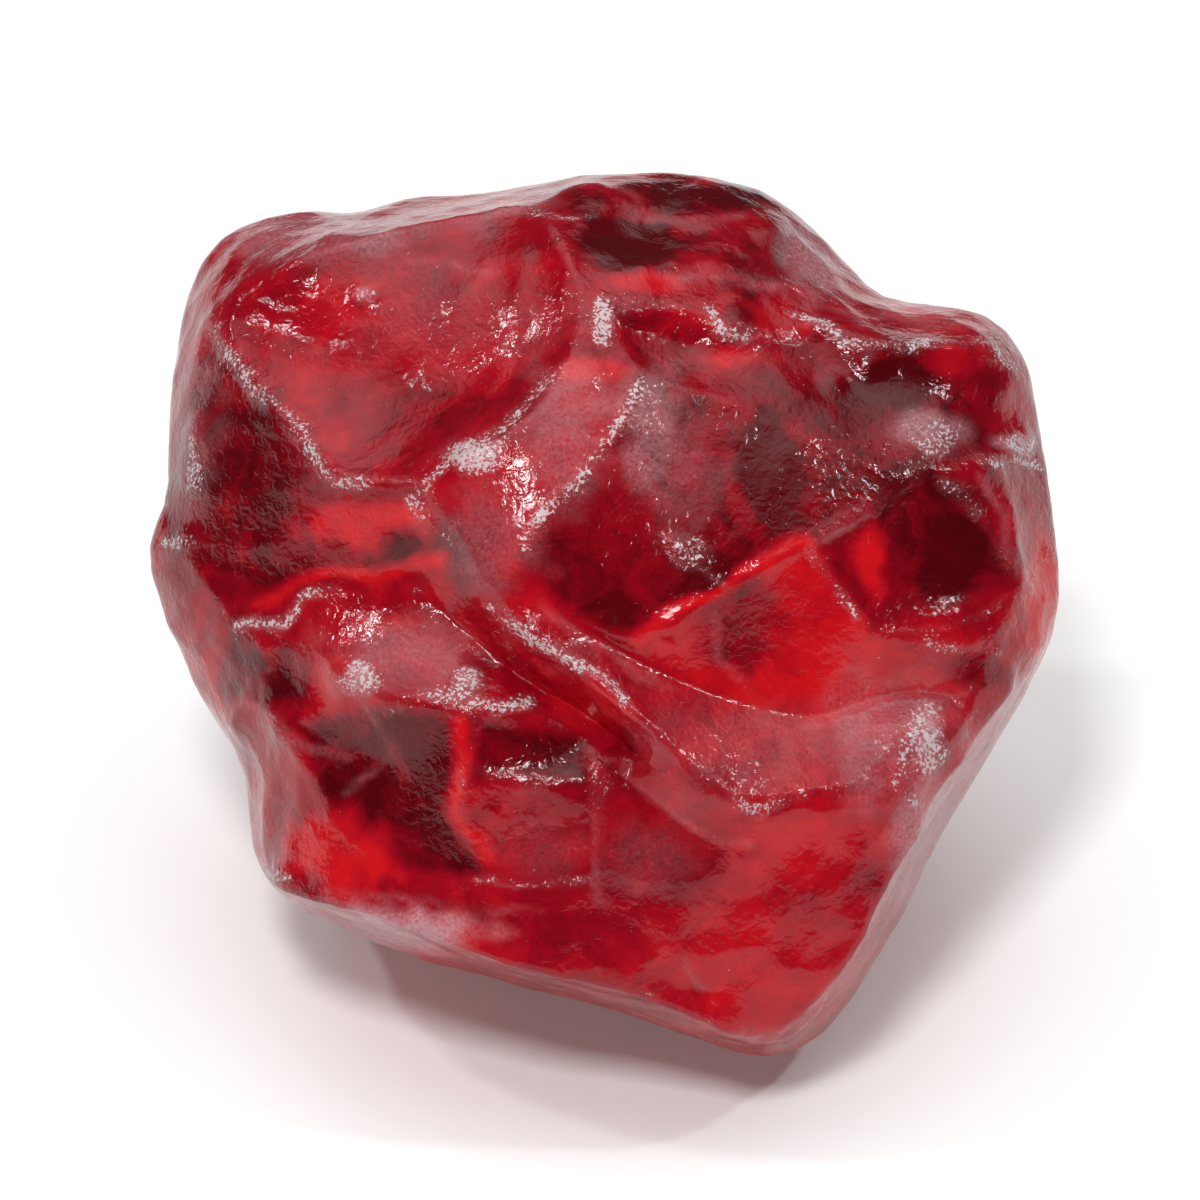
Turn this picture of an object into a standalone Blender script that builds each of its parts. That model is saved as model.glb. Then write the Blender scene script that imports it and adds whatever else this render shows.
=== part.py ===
"""A rough ruby: one natural piece of gem rough, broken on every side.

The stone is drawn square-on to its best side, in millimetres: across to the right, up, and out
towards the viewer. Its rim is the outline seen from there. In front of the rim lies the broken
face, behind it the plainer back, and each is a relief given by its ridges and valleys. The two
reliefs are joined at the rim, the breaks are rounded a little, and the stone is laid back until
it rests on the flat break under it.
"""

import math

import bmesh
import bpy
from mathutils import Matrix, Vector
from mathutils.geometry import delaunay_2d_cdt

MM = 0.001

# How far the face leans back from upright when the stone rests, in degrees.
LEAN = 35.0
# How far the flat break under the stone lies below the middle of the drawing, in mm.
REST_DEPTH = 8.9
# The longest edge of the finished surface, in mm.
LONGEST_EDGE = 1.05
# How often the surface between the ridges is evened out, and how often the ridges themselves.
FACE_PASSES = 5
RIDGE_PASSES = 2

RUBY_RED = (0.42, 0.006, 0.018, 1.0)
RUBY_ROUGHNESS = 0.12
RUBY_IOR = 1.77

# The rim, clockwise from the top left corner. Each point is (across, up, out) in mm.
RIM = [
    (-8.9, 10.1, -1.4), (-7.25, 10.25, -1.5), (-5.25, 10.55, -1.6), (-3.0, 10.7, -1.6),
    (-1.4, 11.0, -1.2), (0.0, 11.2, -0.6), (1.6, 11.2, -0.4), (2.75, 11.1, -0.4),
    (4.0, 10.9, -0.6), (5.1, 10.0, -0.8), (6.2, 9.0, -0.8), (6.7, 8.2, -0.4),
    (7.0, 8.0, 0.2), (8.25, 7.85, 0.6), (9.55, 7.7, 0.8), (10.2, 7.25, 1.0),
    (10.6, 6.6, 1.2), (10.8, 5.5, 1.4), (11.0, 4.25, 1.6), (11.2, 3.0, 1.8),
    (11.4, 1.75, 1.8), (11.4, 0.5, 1.8), (11.2, -0.6, 1.6), (10.75, -1.5, 1.2),
    (9.4, -3.9, 0.6), (8.05, -6.05, 0.2), (7.95, -6.55, 0.2), (7.2, -8.0, 0.4),
    (6.45, -9.1, 0.8), (6.1, -9.6, 1.2), (5.6, -10.3, 1.8), (4.9, -10.7, 2.4),
    (4.1, -10.85, 2.6), (3.4, -10.7, 2.6), (2.25, -10.25, 2.6), (1.0, -9.8, 2.6),
    (-1.0, -9.3, 2.2), (-3.0, -8.8, 1.2), (-4.5, -8.45, 0.6), (-5.75, -8.0, 0.2),
    (-7.0, -7.4, 0.2), (-8.0, -6.9, 0.6), (-8.4, -6.5, 1.0), (-8.65, -5.75, 1.0),
    (-8.75, -4.6, 0.8), (-8.75, -3.9, 0.6), (-9.0, -3.1, 0.4), (-9.45, -2.7, 0.4),
    (-10.0, -1.8, 0.2), (-10.55, -0.6, 0.2), (-11.0, 0.5, 0.4), (-11.3, 1.3, 0.6),
    (-11.3, 1.8, 0.8), (-11.1, 2.4, 0.8), (-10.8, 2.75, 0.8), (-10.7, 3.5, 0.6),
    (-10.85, 4.75, 0.2), (-10.7, 6.0, -0.2), (-10.5, 7.5, -0.6), (-10.4, 8.1, -0.8),
    (-10.1, 9.0, -1.0), (-9.6, 9.7, -1.2),
]

# The ridges and valleys of the face, each a run of (across, up, out) points in mm.
FACE_LINES = {
    # Shoulders: where the face turns over into the sides.
    "brow": [
        (-9.4, 7.4, 1.8), (-8.4, 8.5, 2.2), (-7.1, 9.0, 2.6), (-5.7, 9.4, 2.6), (-4.2, 9.8, 2.4),
        (-2.7, 10.1, 2.2), (-1.7, 10.4, 1.8),
    ],
    "left shoulder": [
        (-9.4, 7.4, 1.8), (-10.0, 6.2, 1.8), (-10.2, 5.2, 2.0), (-10.1, 4.0, 2.4),
        (-10.0, 2.7, 2.6), (-10.2, 1.6, 2.2), (-10.4, 0.8, 1.8), (-10.2, -0.5, 1.6),
        (-9.7, -1.7, 1.6), (-9.2, -2.5, 1.8), (-8.5, -3.4, 2.0), (-8.3, -4.5, 2.4),
        (-8.2, -5.7, 2.8), (-8.0, -6.5, 3.0),
    ],
    "right edge": [
        (10.1, -1.7, 3.6), (9.1, -3.0, 4.5), (8.1, -4.3, 5.1), (7.5, -5.4, 5.4),
        (6.9, -6.5, 5.5), (6.4, -7.6, 5.5), (5.7, -8.6, 5.3), (5.0, -9.6, 5.0), (4.3, -10.2, 4.7),
    ],
    "bottom edge": [
        (-8.0, -6.5, 3.0), (-7.6, -6.8, 3.9), (-6.5, -6.9, 4.9), (-5.0, -7.3, 5.6),
        (-3.5, -7.8, 5.9), (-2.4, -8.4, 6.0), (-0.7, -8.6, 6.0), (1.0, -9.1, 5.9),
        (2.5, -9.7, 5.6), (3.5, -10.1, 5.1), (4.3, -10.2, 4.7),
    ],
    # The big smooth hollow at the upper left and the soft rise that halves it.
    "hollow's lower lip": [
        (-9.4, 7.4, 1.8), (-8.9, 6.2, 3.0), (-7.9, 5.2, 4.2), (-7.1, 4.3, 5.0), (-6.4, 3.5, 5.7),
        (-5.4, 3.3, 6.1), (-4.2, 3.3, 6.6), (-3.2, 3.9, 7.0), (-2.2, 4.5, 7.0), (-1.4, 5.2, 6.6),
        (-0.8, 6.2, 6.0), (-0.4, 7.2, 5.4), (-0.5, 8.2, 4.8), (-1.0, 9.2, 4.0), (-1.7, 10.4, 1.8),
    ],
    "rise in the hollow": [
        (-7.5, 8.4, 2.9), (-6.4, 7.9, 3.4), (-5.0, 7.2, 3.9), (-3.8, 7.3, 4.2), (-2.5, 7.9, 4.3),
        (-1.3, 8.6, 4.2),
    ],
    # The spur that crosses the middle and runs on as a ledge to the lower right.
    "spur's left edge": [
        (-4.2, 3.3, 6.6), (-3.6, 2.5, 6.8), (-3.0, 1.6, 7.0), (-2.4, 0.6, 7.2), (-2.0, -0.1, 7.3),
        (-1.0, -0.8, 7.5), (0.0, -1.5, 7.7), (0.6, -2.1, 7.8), (1.4, -2.7, 7.8), (2.1, -3.4, 7.8),
        (2.7, -4.1, 7.7), (3.4, -4.6, 7.6), (4.1, -4.3, 7.4), (5.0, -4.1, 7.0), (6.1, -3.9, 6.6),
        (7.0, -4.3, 6.3), (7.5, -4.2, 6.0), (8.0, -3.6, 5.6), (8.7, -2.7, 5.1), (9.2, -2.1, 4.7),
    ],
    "spur's right edge": [
        (1.0, 6.0, 5.9), (0.7, 5.1, 6.4), (0.0, 4.2, 6.8), (-0.8, 3.4, 7.1), (-1.5, 2.6, 7.4),
        (-1.9, 1.7, 7.5), (-1.6, 0.9, 7.4), (-1.0, 0.3, 7.2), (0.0, -0.4, 6.9), (1.2, -1.1, 6.6),
        (3.0, -1.9, 6.2), (4.2, -2.2, 5.9), (5.5, -2.5, 5.6), (6.1, -2.0, 5.3), (7.5, -1.7, 4.8),
        (8.7, -1.8, 4.6), (9.2, -2.1, 4.7),
    ],
    # The middle facet, the red facet below it and the small facets at the right.
    "middle facet's top": [
        (1.0, 6.0, 5.9), (2.5, 5.5, 5.8), (3.6, 5.2, 5.6), (4.6, 5.7, 5.0),
    ],
    "middle facet's foot": [
        (0.0, -0.4, 6.9), (1.0, -0.4, 7.0), (2.0, 0.1, 7.0), (3.0, 0.9, 6.9), (4.0, 1.4, 6.8),
        (5.1, 1.9, 6.5), (6.0, 2.4, 6.1), (7.0, 3.1, 5.6), (8.1, 3.8, 5.0),
    ],
    "dark facet's left edge": [
        (5.1, 1.9, 6.5), (5.4, 1.2, 6.3), (5.9, 0.5, 6.1), (6.6, -0.3, 5.9), (7.6, -0.5, 5.5),
        (8.6, -0.7, 5.0), (9.6, -0.5, 4.5), (10.1, 0.0, 4.0),
    ],
    "dark facet's foot": [
        (6.6, -0.3, 5.9), (8.0, 0.1, 5.2), (9.2, 0.4, 4.6), (10.2, 0.8, 3.8),
    ],
    "dark facet's right edge": [
        (8.1, 3.8, 5.0), (9.0, 3.0, 4.6), (9.6, 2.0, 4.3), (10.2, 0.8, 3.8), (10.1, 0.0, 4.0),
    ],
    "right corner": [
        (8.1, 3.8, 5.0), (9.4, 4.0, 4.2), (10.6, 3.6, 2.4),
    ],
    # The knobs and ledges along the top.
    "top shoulder": [
        (-1.7, 10.4, 1.8), (-0.6, 10.7, 1.9), (0.6, 10.7, 1.8), (1.6, 10.5, 1.6), (2.6, 10.4, 1.8),
        (3.8, 10.1, 1.7), (4.6, 9.5, 1.6), (5.1, 8.8, 1.8), (5.8, 8.1, 2.0), (6.6, 7.8, 1.8),
    ],
    "upper ledge": [
        (-0.5, 8.2, 4.8), (0.1, 8.4, 4.6), (1.2, 8.7, 4.0), (2.5, 8.9, 3.5), (3.9, 8.5, 3.1),
        (5.1, 8.0, 2.9), (6.2, 7.5, 2.9), (6.6, 7.8, 1.8),
    ],
    "lower ledge": [
        (-0.4, 7.2, 5.4), (0.1, 7.4, 5.3), (1.0, 7.7, 4.9), (2.0, 7.8, 4.6), (2.8, 7.1, 4.7),
        (3.7, 6.9, 4.5), (4.7, 7.5, 3.6), (5.7, 7.1, 3.8), (6.7, 6.8, 4.0), (8.1, 6.7, 3.9),
        (9.4, 6.8, 3.2), (10.0, 6.5, 2.6), (10.3, 5.9, 2.2),
    ],
    # The lobe at the left with the facets below it.
    "left valley": [
        (-10.2, 1.6, 2.2), (-9.6, 0.5, 2.8), (-8.3, 0.5, 3.6), (-6.9, 0.7, 4.4), (-5.5, 0.9, 5.1),
        (-4.3, 1.1, 5.7), (-3.0, 1.6, 7.0),
    ],
    "lobe's front": [
        (-8.9, -0.3, 3.2), (-7.9, -0.2, 4.2), (-6.7, -0.6, 5.2), (-6.2, -1.5, 6.0),
        (-5.5, -1.9, 6.5), (-4.7, -2.1, 6.8), (-3.7, -1.9, 7.0), (-3.0, -2.2, 7.0),
        (-2.4, -1.9, 6.9), (-1.3, -2.3, 6.6),
    ],
    "lobe's right valley": [
        (-4.3, 1.1, 5.7), (-3.9, 0.2, 5.7), (-3.0, -0.4, 5.8), (-2.4, -1.0, 5.9),
        (-1.5, -1.7, 6.0), (-0.5, -2.1, 5.9), (0.3, -2.6, 5.9), (1.0, -3.3, 6.4),
    ],
    "left rib": [
        (-9.2, -2.5, 1.8), (-7.9, -2.4, 4.0), (-6.6, -2.9, 5.0), (-5.2, -3.4, 5.5),
    ],
    "flare's edge": [
        (-7.9, -2.4, 4.0), (-7.5, -3.1, 4.3), (-6.9, -4.1, 4.7), (-5.7, -5.1, 5.2),
        (-5.0, -6.1, 5.5), (-4.0, -6.3, 5.8), (-2.7, -6.3, 6.1), (-2.1, -6.4, 6.1),
        (-1.0, -6.5, 6.3), (-0.1, -6.4, 6.5),
    ],
    "first upright rib": [
        (-3.0, -2.2, 7.0), (-3.2, -3.5, 6.8), (-3.4, -4.6, 6.5), (-3.0, -5.6, 6.3),
        (-2.7, -6.3, 6.1),
    ],
    "second upright rib": [
        (-1.3, -2.3, 6.6), (-0.3, -2.9, 6.5), (-0.2, -3.8, 6.9), (-0.2, -4.6, 6.8),
        (0.0, -5.4, 6.7), (-0.1, -6.4, 6.5), (1.0, -7.0, 6.4), (1.9, -7.9, 6.2), (2.5, -9.1, 5.4),
    ],
    "step between the ribs": [
        (-3.2, -3.5, 6.8), (-2.5, -3.8, 6.8), (-1.4, -3.8, 6.8), (-0.2, -3.8, 6.9),
    ],
    "slanting rib": [
        (-0.3, -2.9, 6.5), (0.3, -3.6, 6.7), (1.2, -4.2, 6.8), (2.3, -5.0, 6.9), (3.1, -5.7, 6.8),
        (4.4, -6.3, 6.4),
    ],
    "lower right crease": [
        (3.1, -7.1, 6.3), (4.3, -7.0, 6.3), (5.2, -6.9, 6.2), (5.9, -7.8, 5.5),
    ],
}

# Lines where the surface only swells or dips, with no crisp edge.
SOFT_LINES = ("rise in the hollow", "left shoulder", "top shoulder", "back shoulder")

# Places between the lines where the face dips or swells.
FACE_SPOTS = [
    # Upper and lower part of the big hollow.
    (-4.3, 8.7, 3.0), (-2.3, 9.2, 2.9), (-7.4, 7.2, 2.8), (-6.4, 6.2, 3.4), (-4.5, 5.7, 4.0),
    (-2.5, 6.3, 4.5), (-5.0, 4.4, 4.9), (-3.3, 5.0, 5.4),
    # Left face.
    (-8.6, 3.5, 3.7), (-7.5, 2.0, 4.4), (-5.5, 2.3, 5.6), (-4.3, 2.2, 6.2), (-9.2, 5.3, 2.6),
    # The spur's back.
    (-1.0, 4.0, 7.3), (-2.3, 2.9, 7.5), (-0.4, 5.0, 6.8), (0.2, 6.2, 5.8),
    # Middle facet.
    (1.0, 1.6, 7.1), (2.0, 3.4, 6.6), (3.5, 3.0, 6.5), (2.6, 4.5, 6.2), (5.2, 3.8, 6.0),
    (6.4, 4.6, 5.2), (3.6, 1.9, 6.8),
    # Red facet and the ledge in front of it.
    (3.4, -0.4, 6.2), (5.0, -0.6, 5.9), (6.8, -1.2, 5.2), (2.4, -2.6, 7.1), (4.2, -3.3, 6.8),
    (7.2, -2.9, 6.5), (8.1, -2.7, 6.0),
    # Facets at the right.
    (7.9, 1.6, 4.7), (6.6, 1.4, 5.3), (8.4, -0.1, 5.1), (10.4, 2.2, 2.9), (10.3, -0.9, 3.7),
    (8.2, 4.8, 4.6), (6.7, 5.6, 3.8), (8.8, 5.6, 3.6), (10.2, 4.8, 2.9), (5.2, 6.2, 3.8),
    # Hollows between the knobs of the top.
    (-0.3, 9.8, 2.7), (1.2, 9.5, 1.8), (3.1, 9.5, 2.0), (4.5, 8.9, 2.0), (1.4, 6.8, 4.4),
    (3.1, 6.2, 4.3), (8.2, 7.3, 2.2), (1.4, 8.1, 3.7), (4.6, 8.0, 2.5),
    # Left lobe and the facets below it.
    (-5.0, -0.6, 6.1), (-3.7, -0.9, 6.5), (-7.8, -1.3, 4.0), (-6.6, -1.9, 4.9),
    (-5.0, -4.6, 5.6), (-4.2, -3.2, 6.2), (-7.2, -4.9, 4.0), (-6.6, -5.9, 4.8), (-7.4, -6.1, 4.0),
    # Lower middle.
    (-1.8, -3.0, 6.5), (-1.8, -5.2, 6.2), (-2.4, -7.3, 6.1), (0.4, -7.9, 6.2), (1.5, -6.2, 6.7),
    (3.4, -8.6, 6.0), (4.2, -5.3, 6.8), (6.2, -5.8, 6.0), (5.0, -7.9, 5.9),
]

# The back, seen through the stone from the front: its shoulder, then the broad break it ends in.
BACK_LINES = {
    "back shoulder": [
        (-8.2, 9.2, -4.2), (-4.5, 9.8, -4.8), (0.0, 10.3, -5.0), (3.6, 10.0, -5.0),
        (5.8, 8.0, -4.6), (8.8, 6.8, -4.2), (9.9, 4.5, -4.0), (10.4, 1.5, -4.0),
        (9.7, -1.5, -4.6), (8.2, -4.2, -5.2), (7.0, -6.2, -5.6), (5.6, -8.2, -4.4),
        (3.8, -9.9, -2.6), (0.8, -9.2, -3.2), (-2.8, -8.3, -4.2), (-5.4, -7.4, -4.8),
        (-7.4, -6.0, -5.2), (-8.0, -3.6, -4.8), (-9.4, -0.8, -4.2), (-10.2, 1.8, -4.0),
        (-9.9, 4.5, -4.0), (-9.6, 7.2, -4.0), (-8.2, 9.2, -4.2),
    ],
    "back break": [
        (-5.8, 6.8, -7.0), (-1.5, 7.6, -7.6), (2.6, 7.2, -7.4), (6.2, 4.4, -7.0),
        (7.4, 0.6, -7.2), (6.4, -3.2, -8.0), (5.2, -5.2, -8.2), (1.0, -5.6, -8.6),
        (-3.0, -5.4, -8.6), (-6.0, -4.6, -7.8), (-7.0, -1.5, -7.2), (-7.6, 2.5, -7.0),
        (-5.8, 6.8, -7.0),
    ],
    "back ridge": [
        (-1.5, 7.6, -7.6), (-0.6, 4.4, -8.5), (-1.0, 2.0, -8.9), (-3.0, -2.0, -9.1),
        (-3.0, -5.4, -8.6),
    ],
    "back ledge": [
        (-7.6, 2.5, -7.0), (-6.0, 1.8, -7.6), (-4.4, 1.6, -7.9), (-2.6, 2.4, -8.4),
        (-1.0, 2.0, -8.9),
    ],
    "back hollow's lip": [
        (-0.6, 4.4, -8.5), (1.6, 3.0, -8.8), (4.0, 2.6, -8.4), (6.2, 4.4, -7.0),
    ],
}
BACK_SPOTS = [
    (2.6, 0.8, -8.8), (2.4, -3.0, -9.2), (-4.6, 4.2, -7.2), (3.0, 5.0, -7.3), (-5.2, -0.6, -7.6),
    (-5.0, -2.6, -8.2), (5.4, 0.4, -8.0),
]


def relief(lines, spots):
    """Points, ridges and triangles of one relief: the rim filled in over its lines and spots.

    The triangles join the points as seen square-on, and no triangle crosses a ridge or valley.
    """
    points = list(RIM)
    edges = []
    crisp = []
    for name, run in lines.items():
        for point in run:
            if point not in points:
                points.append(point)
        places = [points.index(point) for point in run]
        run_edges = list(zip(places[:-1], places[1:]))
        edges += run_edges
        if name not in SOFT_LINES:
            crisp += run_edges
    points += spots
    flat = [Vector(point[:2]) for point in points]
    rim_face = list(range(len(RIM)))
    drawn, _, triangles, _, _, _ = delaunay_2d_cdt(flat, edges, [rim_face], 1, 1e-4)
    if len(drawn) != len(points):
        raise ValueError("two lines of the relief cross where they share no point")
    return points, crisp, triangles


def stone_mesh():
    """The two reliefs joined at the rim into one closed surface, in mm, as drawn."""
    stone = bmesh.new()
    corners = {}
    for lines, spots in ((FACE_LINES, FACE_SPOTS), (BACK_LINES, BACK_SPOTS)):
        points, crisp, triangles = relief(lines, spots)
        for triangle in triangles:
            for place in triangle:
                corners.setdefault(points[place], None)
                if corners[points[place]] is None:
                    corners[points[place]] = stone.verts.new(points[place])
            stone.faces.new([corners[points[place]] for place in triangle])
        for start, end in crisp:
            ridge = stone.edges.get((corners[points[start]], corners[points[end]]))
            ridge.smooth = False
    for start, end in zip(RIM, RIM[1:] + RIM[:1]):
        stone.edges.get((corners[start], corners[end])).seam = True
    bmesh.ops.recalc_face_normals(stone, faces=stone.faces)
    return stone


def split_long_edges(stone):
    """Halves edges until none is longer than LONGEST_EDGE. Ridges stay edges."""
    while True:
        long_edges = [edge for edge in stone.edges if edge.calc_length() > LONGEST_EDGE]
        if not long_edges:
            return
        bmesh.ops.subdivide_edges(stone, edges=long_edges, cuts=1)
        many_sided = [face for face in stone.faces if len(face.verts) > 3]
        bmesh.ops.triangulate(stone, faces=many_sided)
        free_edges = [edge for edge in stone.edges if edge.smooth]
        bmesh.ops.beautify_fill(stone, faces=stone.faces, edges=free_edges, method="ANGLE")


def middle_of_neighbours(vert, edges):
    """The mean place of the points at the other ends of some edges of a point."""
    return sum((edge.other_vert(vert).co for edge in edges), Vector()) / len(edges)


def even_out(stone):
    """Draws every point towards its neighbours, and a point on a ridge only along the ridge.

    The faces between the ridges come out smooth and curved, and the ridges stay crisp. A point
    of the rim moves with its neighbours in depth alone, so the outline keeps its size.
    """
    for step in range(FACE_PASSES):
        moved = {}
        for vert in stone.verts:
            rim = [edge for edge in vert.link_edges if edge.seam]
            ridges = [edge for edge in vert.link_edges if not edge.smooth]
            if not ridges:
                moved[vert] = vert.co.lerp(middle_of_neighbours(vert, vert.link_edges), 0.5)
            elif len(ridges) == 2 and step < RIDGE_PASSES:
                moved[vert] = vert.co.lerp(middle_of_neighbours(vert, ridges), 0.4)
            if rim:
                pull = 0.4 if step < RIDGE_PASSES else 0.0
                moved[vert].xy = vert.co.lerp(middle_of_neighbours(vert, rim), pull).xy
        for vert, place in moved.items():
            vert.co = place


def rest_on_flat_break(stone):
    """Lays the stone back by LEAN and cuts it flat where it rests, at height 0."""
    lean = Matrix.Rotation(math.radians(90.0 - LEAN), 4, "X")
    bmesh.ops.transform(stone, matrix=lean, verts=stone.verts)
    rest_height = Vector((0.0, 0.0, -REST_DEPTH))
    everything = [*stone.verts, *stone.edges, *stone.faces]
    cut = bmesh.ops.bisect_plane(
        stone, geom=everything, dist=1e-4, plane_co=rest_height, plane_no=(0, 0, -1),
        clear_outer=True,
    )
    rest_edges = [item for item in cut["geom_cut"] if isinstance(item, bmesh.types.BMEdge)]
    bmesh.ops.holes_fill(stone, edges=rest_edges)
    bmesh.ops.triangulate(stone, faces=[face for face in stone.faces if len(face.verts) > 3])
    bmesh.ops.recalc_face_normals(stone, faces=stone.faces)


def centre_over_rest(stone):
    """Moves the origin to the middle of the stone's box, at the height it rests on, and to metres."""
    across = [vert.co.x for vert in stone.verts]
    deep = [vert.co.y for vert in stone.verts]
    middle = Vector(((min(across) + max(across)) / 2, (min(deep) + max(deep)) / 2, -REST_DEPTH))
    bmesh.ops.translate(stone, vec=-middle, verts=stone.verts)
    bmesh.ops.scale(stone, vec=(MM, MM, MM), verts=stone.verts)


def ruby_material():
    """Deep red, glassy and see-through."""
    material = bpy.data.materials.new("ruby_crystal")
    material.use_nodes = True
    shader = material.node_tree.nodes["Principled BSDF"]
    shader.inputs["Base Color"].default_value = RUBY_RED
    shader.inputs["Roughness"].default_value = RUBY_ROUGHNESS
    shader.inputs["IOR"].default_value = RUBY_IOR
    shader.inputs["Transmission Weight"].default_value = 1.0
    return material


def make_ruby():
    stone = stone_mesh()
    split_long_edges(stone)
    even_out(stone)
    rest_on_flat_break(stone)
    centre_over_rest(stone)
    mesh = bpy.data.meshes.new("ruby")
    stone.to_mesh(mesh)
    stone.free()
    mesh.materials.append(ruby_material())
    ruby = bpy.data.objects.new("ruby", mesh)
    bpy.context.scene.collection.objects.link(ruby)


def main():
    for old in list(bpy.data.objects):
        bpy.data.objects.remove(old)
    make_ruby()


main()
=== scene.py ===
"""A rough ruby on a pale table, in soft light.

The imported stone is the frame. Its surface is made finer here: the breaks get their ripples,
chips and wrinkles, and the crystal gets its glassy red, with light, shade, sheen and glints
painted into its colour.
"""

import math

import bmesh
import bpy
import numpy as np
from mathutils import Matrix, Vector


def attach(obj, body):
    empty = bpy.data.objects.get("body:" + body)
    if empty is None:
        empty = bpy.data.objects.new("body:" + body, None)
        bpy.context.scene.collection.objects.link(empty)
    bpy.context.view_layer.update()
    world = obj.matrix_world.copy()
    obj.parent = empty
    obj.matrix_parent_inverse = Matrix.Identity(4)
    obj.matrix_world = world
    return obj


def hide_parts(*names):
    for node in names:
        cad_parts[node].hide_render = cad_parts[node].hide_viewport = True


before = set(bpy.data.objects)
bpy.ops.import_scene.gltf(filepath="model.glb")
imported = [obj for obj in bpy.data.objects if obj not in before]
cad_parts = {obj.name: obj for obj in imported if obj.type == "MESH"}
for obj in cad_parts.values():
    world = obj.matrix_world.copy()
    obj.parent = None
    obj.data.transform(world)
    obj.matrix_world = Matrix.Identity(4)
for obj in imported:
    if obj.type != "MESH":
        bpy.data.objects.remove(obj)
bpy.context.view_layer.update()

# The stone. The real one is a single lump of corundum, broken out of its rock, so every side is
# a fresh break: smooth shell-shaped hollows, flat partings and small ledges that meet in crisp
# crests. The crests are crushed into chips too fine to tell apart.
MM = 0.001

# It lies with its best side leaning back by so many degrees. In that side's own view a place is
# given as across, up and out towards the viewer, in mm from a point inside the stone.
LEAN = 35.0
INSIDE = Vector((-0.09, -0.24, 8.9))

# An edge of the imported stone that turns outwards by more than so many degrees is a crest, and one
# that turns inwards is a crease. Every edge is cut in so many places.
CREST_ANGLE = 16.0
CUTS = 3


def fine_stone(node):
    """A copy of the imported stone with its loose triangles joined, each of them cut in 16, and its
    crests and creases marked."""
    stone = bmesh.new()
    stone.from_mesh(node.data)
    bmesh.ops.remove_doubles(stone, verts=stone.verts, dist=1e-4 * MM)
    crest = stone.verts.layers.float.new("crest")
    crease = stone.verts.layers.float.new("crease")
    sharp = math.radians(CREST_ANGLE)
    for edge in stone.edges:
        turn = edge.calc_face_angle_signed(0.0)
        for vert in edge.verts:
            if turn > sharp:
                vert[crest] = 1.0
            if turn < -sharp:
                vert[crease] = 1.0
    bmesh.ops.subdivide_edges(stone, edges=stone.edges, cuts=CUTS, use_grid_fill=True)
    bmesh.ops.triangulate(stone, faces=stone.faces)
    mesh = bpy.data.meshes.new("ruby_surface")
    stone.to_mesh(mesh)
    stone.free()
    return mesh


def vectors(items, name):
    """The three numbers of one property for all of a mesh's points, as rows of an array."""
    flat = np.empty(len(items) * 3)
    items.foreach_get(name, flat)
    return flat.reshape(-1, 3)


def marked(mesh, name):
    """The number that each of a mesh's points has in the attribute of that name."""
    values = np.empty(len(mesh.vertices))
    mesh.attributes[name].data.foreach_get("value", values)
    return values


def neighbour_mean(values, edges):
    """For each point the mean of the values at the points that its edges lead to."""
    count = len(values)
    starts = np.concatenate((edges[:, 0], edges[:, 1]))
    ends = np.concatenate((edges[:, 1], edges[:, 0]))
    share = np.bincount(starts, minlength=count)
    columns = values.reshape(count, -1).T
    sums = [np.bincount(starts, weights=column[ends], minlength=count) for column in columns]
    return (np.array(sums) / share).T.reshape(values.shape)


# Large odd numbers that stir the bits of a whole number, and the largest number of 32 bits.
STIR_CUBE = (73856093, 19349663, 83492791)
STIR_SEED = 2654435761
STIR_FIRST = 2246822519
STIR_LAST = 3266489917
ALL_BITS = 0xFFFFFFFF


def dice(cubes, seed):
    """A random number from -1 to 1 for each cube, from the bits of its three whole numbers."""
    key = cubes * STIR_CUBE
    mixed = key[:, 0] ^ key[:, 1] ^ key[:, 2] ^ (seed * STIR_SEED)
    mixed = ((mixed ^ (mixed >> 15)) * STIR_FIRST) & ALL_BITS
    mixed = ((mixed ^ (mixed >> 13)) * STIR_LAST) & ALL_BITS
    return 2.0 * (mixed >> 8) / (ALL_BITS >> 8) - 1.0


def grain(places, size, seed):
    """Smooth random heights from -1 to 1: random values at the corners of cubes of one size,
    blended between the corners by the curve 3 t^2 - 2 t^3 along each direction."""
    cell = places / size
    corner = np.floor(cell).astype(np.int64)
    part = cell - corner
    part = part * part * (3.0 - 2.0 * part)
    height = np.zeros(len(places))
    for step in np.ndindex(2, 2, 2):
        weight = np.prod(np.where(step, part, 1.0 - part), axis=1)
        height += weight * dice(corner + step, seed)
    return height


# How far a chip's lowest point strays from the middle of its cube, and how much the chip tilts.
CHIP_STRAY = 0.45
CHIP_TILT = 0.35


def scoops(places, size, seed):
    """A surface of hollow chips with crisp rims, from 0 to about 1: the square of the distance
    to the nearest of scattered points, one in each cube of the size, tilted its own way."""
    cell = np.floor(places / size).astype(np.int64)
    lowest = np.full(len(places), np.inf)
    for step in np.ndindex(3, 3, 3):
        cube = cell + step - 1
        stray = np.stack([dice(cube, seed + n) for n in (1, 2, 3)], axis=1)
        tilt = np.stack([dice(cube, seed + n) for n in (4, 5, 6)], axis=1)
        away = places / size - (cube + 0.5 + CHIP_STRAY * stray)
        tilted = CHIP_TILT * (away * tilt).sum(axis=1)
        lowest = np.minimum(lowest, (away * away).sum(axis=1) + tilted)
    return lowest


def fade(value, start, end):
    """From 0 at start to 1 at end along the curve 3 t^2 - 2 t^3."""
    part = np.clip((value - start) / (end - start), 0.0, 1.0)
    return part * part * (3.0 - 2.0 * part)


# Points lower than this lie on the flat break that the stone rests on, and keep their place.
REST_BAND = 0.02 * MM

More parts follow.
